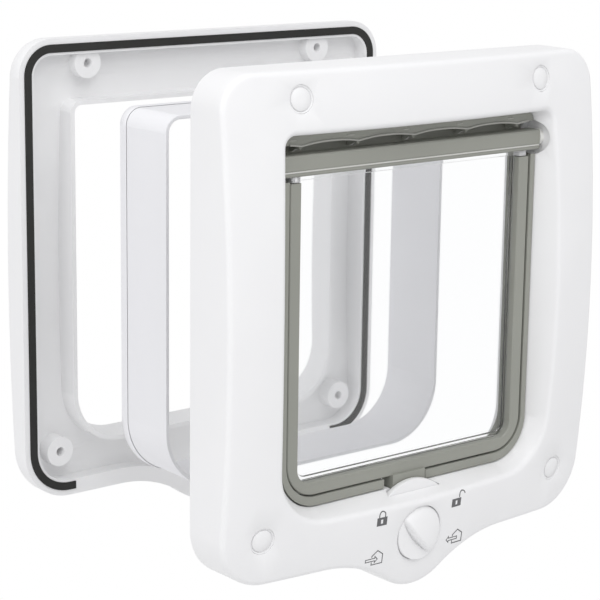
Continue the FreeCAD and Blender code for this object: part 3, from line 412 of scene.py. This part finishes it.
BEAD = 0.00042
bead_way = arch_edge(BEAD * 0.7)
bead_rings = []
for x, z in bead_way:
    bead_rings.append([Vector((x, RAIL_FACE - 0.0004 - BEAD * math.cos(t), z + BEAD * math.sin(t)))
                       for t in (math.radians(d) for d in range(0, 360, 36))])
# The bead is painted a lighter grey than the rail it stands on: a painted highlight along the lip.
painted_highlight_grey = moulded_plastic("painted_highlight_edge", (0.44, 0.44, 0.41), 0.34, grain_pitch=0.0003, cloud=0.04)
finish_piece(skinned("rail_bead", bead_rings, True, False), painted_highlight_grey, "front", 0)

# Five small oval pips on the rail, left of each rib, in the same lighter grey: painted glints.
glint_pips = bmesh.new()
for rib in range(-2, 3):
    place = Vector((rib * ARCH_PITCH - 0.0048, RAIL_FACE, 0.0781))
    bmesh.ops.create_uvsphere(glint_pips, u_segments=16, v_segments=8, radius=1.0,
                              matrix=Matrix.Translation(place) @ Matrix.Diagonal((0.0021, 0.0005, 0.0004, 1)))
glint_pip_mesh = bpy.data.meshes.new("rail_glint_pips")
glint_pips.to_mesh(glint_pip_mesh)
glint_pips.free()
rail_glint_pips = bpy.data.objects.new("rail_glint_pips", glint_pip_mesh)
bpy.context.scene.collection.objects.link(rail_glint_pips)
finish_piece(rail_glint_pips, painted_highlight_grey, "front", 0)


# Surround screws: zinc-plated steel, driven through the flange into the front frame.
zinc = moulded_plastic("zinc_plate", (0.62, 0.61, 0.58), 0.34, grain_pitch=0.0002, cloud=0.08)
zinc.node_tree.nodes["Principled BSDF"].inputs["Metallic"].default_value = 1.0
finish_node("surround_screws", zinc, 0.0002)


# Hinge: two steel pins fixed in the bar's ends turn in acetal bearings set in the front frame.
# Acetal is milky and waxy; the pins are bright ground wire.
acetal = moulded_plastic("natural_acetal", (0.83, 0.83, 0.80), 0.30, cloud=0.01)
steel = moulded_plastic("bright_steel", (0.66, 0.66, 0.67), 0.18, grain_pitch=0.0001, cloud=0.03)
steel.node_tree.nodes["Principled BSDF"].inputs["Metallic"].default_value = 1.0
for side in ("left", "right"):
    finish_node("hinge_bearing_" + side, acetal, 0.0002)
    finish_node("hinge_pin_" + side, steel, 0.0002)


# Hinge bar and flap border: the flap's top rail, with a bead in its groove, and the channel round the
# sides and foot, both in the surround's ABS. The border's section runs from its outer side over the
# face and the inner wall to the pane's channel and the back.
finish_node("hinge_bar", grey_abs, 0.0003)
bar_low, bar_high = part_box("hinge_bar")
GROOVE_RISE = 0.0022
BAR_BEAD = 0.00042
groove_z = bar_low.z + GROOVE_RISE
bead_ends = (bar_low.x + 0.0003, bar_high.x - 0.0003)
bead_line = [[Vector((x, bar_low.y + 0.0002 + size * -math.cos(t) * 0.9, groove_z + size * math.sin(t)))
              for t in (math.radians(d) for d in range(0, 360, 30))]
             for x, size in ((bead_ends[0], BAR_BEAD * 0.4), (bead_ends[0] + 0.0003, BAR_BEAD),
                             (bead_ends[1] - 0.0003, BAR_BEAD), (bead_ends[1], BAR_BEAD * 0.4))]
# The bead is painted a paler grey than the bar: a painted highlight along the groove.
bar_bead_highlight_paint = moulded_plastic("bar_bead_painted_highlight", (0.60, 0.60, 0.57), 0.30, grain_pitch=0.0003, cloud=0.04)
finish_piece(skinned("bar_bead", bead_line, True, False), bar_bead_highlight_paint, "flap", 0)

FACE_WIDTH = 0.0062
BORDER_CORNER = 0.0160
INNER_CORNER = 0.0070
CHANNEL = 0.0016
border_front, border_back = border_low.y, border_high.y
pane_front, pane_back = border_back - 0.00245, border_back - 0.00055


def border_ring(inset, corner, y):
    return rounded_path(BORDER_HALF - inset, BORDER_FOOT + inset, border_high.z, corner, y)


border_section = [
    (0.0, BORDER_CORNER, border_back), (0.0, BORDER_CORNER, border_front + 0.0004),
    (0.0004, BORDER_CORNER - 0.0004, border_front), (FACE_WIDTH - 0.0005, INNER_CORNER + 0.0005, border_front),
    (FACE_WIDTH, INNER_CORNER, border_front + 0.0005), (FACE_WIDTH, INNER_CORNER, pane_front - 0.0013),
    (FACE_WIDTH - 0.0004, INNER_CORNER + 0.0004, pane_front - 0.0011),
    (FACE_WIDTH - 0.0004, INNER_CORNER + 0.0004, pane_front),
    (FACE_WIDTH - CHANNEL, INNER_CORNER + CHANNEL, pane_front),
    (FACE_WIDTH - CHANNEL, INNER_CORNER + CHANNEL, pane_back),
    (FACE_WIDTH, INNER_CORNER, pane_back), (FACE_WIDTH, INNER_CORNER, border_back),
]
border = skinned("flap_border_moulding", [border_ring(*point) for point in border_section], False, True)
TAB_HALF = 0.010
TAB_FRONT = 0.0011
tab = slab("border_tab", (-TAB_HALF, border_front - TAB_FRONT, border_low.z),
           (TAB_HALF, border_back - 0.0002, BORDER_FOOT + 0.0006))
trimmed(border, tab, "UNION")
magnet_low, magnet_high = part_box("flap_magnet")
trimmed(border, slab("magnet_pocket", (magnet_low.x - 0.00003, magnet_low.y - 0.00003, BORDER_FOOT - 0.001),
                     (magnet_high.x + 0.00003, magnet_high.y + 0.00003, magnet_high.z)), "DIFFERENCE")
finish_piece(border, grey_abs, "flap", 0.0002, ("flap_border",))


# Pane: one clear moulding, water-clear with polished faces. Its raised rim catches the light.
clear = bpy.data.materials.new("clear_styrene")
clear.use_nodes = True
shine = clear.node_tree.nodes["Principled BSDF"]
shine.inputs["Base Color"].default_value = (0.985, 0.99, 0.995, 1)
shine.inputs["Transmission Weight"].default_value = 1.0
shine.inputs["IOR"].default_value = 1.45
ripple_place = clear.node_tree.nodes.new("ShaderNodeTexCoord")
ripple = clear.node_tree.nodes.new("ShaderNodeTexNoise")
ripple.inputs["Scale"].default_value = 40.0
rub = clear.node_tree.nodes.new("ShaderNodeMapRange")
rub.inputs["To Min"].default_value = 0.01
rub.inputs["To Max"].default_value = 0.05
clear.node_tree.links.new(ripple_place.outputs["Object"], ripple.inputs["Vector"])
clear.node_tree.links.new(ripple.outputs["Fac"], rub.inputs["Value"])
clear.node_tree.links.new(rub.outputs["Result"], shine.inputs["Roughness"])
CLEARANCE = 0.00003
RIM_RISE = 0.0009
RIM_WIDTH = 0.0021
SHOULDER_GAP = 0.0003
SHOULDER_INSET = 0.0014
rim_outer = FACE_WIDTH + 0.0001
rim_inner = rim_outer + RIM_WIDTH
sheet_edge = FACE_WIDTH - CHANNEL + CLEARANCE
pane_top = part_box("flap_pane")[1].z
rim_top = bar_low.z - 0.0005


def pane_ring(inset, top, y):
    corner = max(0.001, INNER_CORNER + FACE_WIDTH - inset)
    return rounded_path(BORDER_HALF - inset, BORDER_FOOT + inset, top, corner, y, crest=0.0005)


sheet_front, sheet_back = pane_front + CLEARANCE, pane_back - CLEARANCE
pane = skinned("flap_pane_moulding", [
    pane_ring(sheet_edge, pane_top, sheet_back), pane_ring(sheet_edge, pane_top, sheet_front),
    pane_ring(rim_outer, rim_top, sheet_front), pane_ring(rim_outer, rim_top, sheet_front - RIM_RISE + 0.0003),
    pane_ring(rim_outer + 0.0003, rim_top - 0.0003, sheet_front - RIM_RISE),
    pane_ring(rim_inner - 0.0003, rim_top - RIM_WIDTH + 0.0003, sheet_front - RIM_RISE),
    pane_ring(rim_inner, rim_top - RIM_WIDTH, sheet_front - RIM_RISE + 0.0003),
    pane_ring(rim_inner, rim_top - RIM_WIDTH, sheet_front)], True, False)
for side in (-1, 1):
    ends = sorted((side * (BORDER_HALF - sheet_edge - 0.0012), side * (BORDER_HALF - SHOULDER_INSET)))
    trimmed(pane, slab("pane_shoulder", (ends[0], border_front + 0.0007, border_high.z + SHOULDER_GAP),
                       (ends[1], border_back - 0.0007, bar_low.z - SHOULDER_GAP)), "UNION")
finish_piece(pane, clear, "flap", 0.0001, ("flap_pane",))
frosted = moulded_plastic("frosted_styrene", (0.93, 0.93, 0.94), 0.30, cloud=0.02)
frosted.node_tree.nodes["Principled BSDF"].inputs["Transmission Weight"].default_value = 0.45
pane.data.materials.append(frosted)
for face in pane.data.polygons:
    if face.center.z > border_high.z and abs(face.center.x) > BORDER_HALF - sheet_edge - 0.0014:
        face.material_index = 1


# Magnets: sintered ferrite blocks, one in the flap's foot and its keeper in the sill.
ferrite = moulded_plastic("sintered_ferrite", (0.09, 0.09, 0.095), 0.45, grain_pitch=0.0004, cloud=0.2)
finish_node("flap_magnet", ferrite, 0.0002)
finish_node("keeper_magnet", ferrite, 0.0002)


# Lock: a white knob with a thumb ridge, the disc that it turns behind the face, and its screw.
# The knob's dome rises to a curved ridge, then drops steeply to a flat at its lower left.
DIAL_RADIUS = 0.0128
DIAL_CREST = 0.0035
DIAL_SINK = 0.0012
DIAL_FLAT = 0.0005
RIDGE_ANGLE = math.radians(221)
RIDGE_RADIUS = 0.050
RIDGE_OFFSET = 0.0024
RIDGE_FALL = 0.0016
RIDGE_GROOVE = 0.0011
DIAL_RINGS = 46
DIAL_SPOKES = 144
disc_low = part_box("lock_disc")[0]
dial_rim = knob_high.y - 0.0095
ridge_way = Vector((math.cos(RIDGE_ANGLE), math.sin(RIDGE_ANGLE)))


def dial_height(x, z):
    """How far the knob's face stands before its rim at a place, measured from the knob's axis."""
    place = Vector((x, z))
    out = min(1.0, place.length / DIAL_RADIUS)
    along = place.x * ridge_way.y - place.y * ridge_way.x
    ridge = RIDGE_OFFSET - along ** 2 / (2 * RIDGE_RADIUS)
    past = place.dot(ridge_way) - ridge
    reach = math.sqrt(max(0.0, DIAL_RADIUS ** 2 - along ** 2)) + ridge
    crest = DIAL_CREST * max(0.0, 1 - (along / DIAL_RADIUS) ** 2) ** 0.6
    dome = crest * max(0.0, 1 - (max(0.0, -past) / max(reach, 0.0001)) ** 1.7) + DIAL_FLAT * (1 - out ** 6)
    flat = DIAL_FLAT * (1 - out ** 6) - DIAL_SINK * (1 - out) ** 0.7
    fall = min(1.0, max(0.0, past / RIDGE_FALL)) ** 2.4
    groove = RIDGE_GROOVE * math.exp(-((past - RIDGE_FALL) / 0.0007) ** 2) * (1 - out ** 4)
    return dome * (1 - fall) + flat * fall - groove


def dial_ring(radius, y=None):
    ring = []
    for spoke in range(DIAL_SPOKES):
        turn = 2 * math.pi * spoke / DIAL_SPOKES
        x, z = radius * math.cos(turn), radius * math.sin(turn)
        ring.append(Vector((KNOB_X + x, dial_rim - dial_height(x, z) if y is None else y, KNOB_Z + z)))
    return ring


SHAFT_RADIUS = 0.0050
SPIGOT_RADIUS = 0.0030
BORE_RADIUS = 0.00143
knob_floor = disc_low.y - 0.0013
bore_end = knob_high.y - 0.0060
dial = skinned("lock_knob_moulding", [dial_ring(DIAL_RADIUS * (ring + 0.35) / (DIAL_RINGS + 0.35))
                                      for ring in range(DIAL_RINGS + 1)] + [
    dial_ring(DIAL_RADIUS + 0.0002, dial_rim + 0.0003), dial_ring(DIAL_RADIUS + 0.0002, knob_floor),
    dial_ring(SHAFT_RADIUS, knob_floor), dial_ring(SHAFT_RADIUS, disc_low.y),
    dial_ring(SPIGOT_RADIUS, disc_low.y), dial_ring(SPIGOT_RADIUS, knob_high.y),
    dial_ring(BORE_RADIUS, knob_high.y), dial_ring(BORE_RADIUS, bore_end)], True, False)
finish_piece(dial, white_abs, "lock", 0, ("lock_knob",))
finish_node("lock_disc", white_abs, 0.0003)
finish_node("lock_screw", zinc, 0.0002)


# Tunnel: a thin white liner in polypropylene, softer in gloss than the frames.
tunnel_white = moulded_plastic("white_polypropylene", (0.85, 0.85, 0.87), 0.46, cloud=0.015)
finish_node("tunnel", tunnel_white, 0.0003)


# Rear frame: the garden-side moulding in the same ABS as the front, open towards the door.
finish_node("rear_frame", white_abs, 0.0003)


# Rear seal: a strip of black cellular rubber pressed into the rim's groove.
black_foam = moulded_plastic("cellular_rubber", (0.03, 0.03, 0.028), 0.82, 0.0006, 0.00012, 0.3)
finish_node("rear_seal", black_foam, 0)


# Studio: a pale floor under soft light from all round, a softbox overhead and a fill at the left.
# The backdrop is plain white to the lens, in reflections and through the pane.
def white_to_the_lens(tree, lit, out):
    """Shows plain white to camera, glossy and transmitted rays, and the lit shader to all others."""
    path = tree.nodes.new("ShaderNodeLightPath")
    seen = tree.nodes.new("ShaderNodeMath")
    seen.operation = "MAXIMUM"
    also = tree.nodes.new("ShaderNodeMath")
    also.operation = "MAXIMUM"
    white = tree.nodes.new("ShaderNodeEmission" if out.name == "Material Output" else "ShaderNodeBackground")
    white.inputs["Strength"].default_value = 1.0
    mix = tree.nodes.new("ShaderNodeMixShader")
    tree.links.new(path.outputs["Is Camera Ray"], seen.inputs[0])
    tree.links.new(path.outputs["Is Glossy Ray"], seen.inputs[1])
    tree.links.new(seen.outputs[0], also.inputs[0])
    tree.links.new(path.outputs["Is Transmission Ray"], also.inputs[1])
    tree.links.new(also.outputs[0], mix.inputs["Fac"])
    tree.links.new(lit.outputs[0], mix.inputs[1])
    tree.links.new(white.outputs[0], mix.inputs[2])
    tree.links.new(mix.outputs[0], out.inputs["Surface"])


floor_mesh = bpy.data.meshes.new("floor")
floor_mesh.from_pydata([(-6, -6, -0.4), (6, -6, -0.4), (6, 6, -0.4), (-6, 6, -0.4)], [], [(0, 1, 2, 3)])
floor = bpy.data.objects.new("floor", floor_mesh)
bpy.context.scene.collection.objects.link(floor)
pale = bpy.data.materials.new("pale_floor")
pale.use_nodes = True
pale_paint = pale.node_tree.nodes["Principled BSDF"]
pale_paint.inputs["Base Color"].default_value = (0.8, 0.8, 0.8, 1)
pale_paint.inputs["Roughness"].default_value = 0.9
white_to_the_lens(pale.node_tree, pale_paint, pale.node_tree.nodes["Material Output"])
floor_mesh.materials.append(pale)

world = bpy.data.worlds.new("studio")
bpy.context.scene.world = world
world.use_nodes = True
ambient = world.node_tree.nodes["Background"]
ambient.inputs["Color"].default_value = (0.985, 0.985, 1.0, 1)
ambient.inputs["Strength"].default_value = 0.80
white_to_the_lens(world.node_tree, ambient, world.node_tree.nodes["World Output"])


def softbox(name, place, aim, width, height, watts):
    lamp = bpy.data.lights.new(name, "AREA")
    lamp.shape = "RECTANGLE"
    lamp.size = width
    lamp.size_y = height
    lamp.energy = watts
    holder = bpy.data.objects.new(name, lamp)
    bpy.context.scene.collection.objects.link(holder)
    holder.location = place
    holder.rotation_mode = "QUATERNION"
    holder.rotation_quaternion = (Vector(aim) - Vector(place)).to_track_quat("-Z", "Y")
    return holder


softbox("overhead", (-0.25, -0.75, 1.0), (0, 0, 0), 0.9, 0.9, 5.5)
softbox("left_fill", (-1.5, -0.25, 0.3), (0, 0.08, 0), 1.0, 1.2, 4.0)


# Camera: a long lens at the photograph's place, to the left of the product and a little above it.
FOCAL_SHARE = 2016.3 / 600
camera_place = Vector((-0.6075, -0.6895, 0.2045))
yaw, pitch, roll = (math.radians(v) for v in (38.94, 12.87, 0.80))
ahead = Vector((math.sin(yaw) * math.cos(pitch), math.cos(yaw) * math.cos(pitch), -math.sin(pitch)))
right = Vector((math.cos(yaw), -math.sin(yaw), 0))
up = right.cross(ahead)
right, up = right * math.cos(roll) + up * math.sin(roll), up * math.cos(roll) - right * math.sin(roll)
lens = bpy.data.cameras.new("camera")
lens.lens = FOCAL_SHARE * lens.sensor_width
lens.clip_start = 0.01
lens.clip_end = 50
camera = bpy.data.objects.new("camera", lens)
bpy.context.scene.collection.objects.link(camera)
camera.matrix_world = Matrix.Translation(camera_place) @ Matrix((right, up, -ahead)).transposed().to_4x4()
bpy.context.scene.camera = camera
bpy.context.scene.view_settings.view_transform = "Standard"
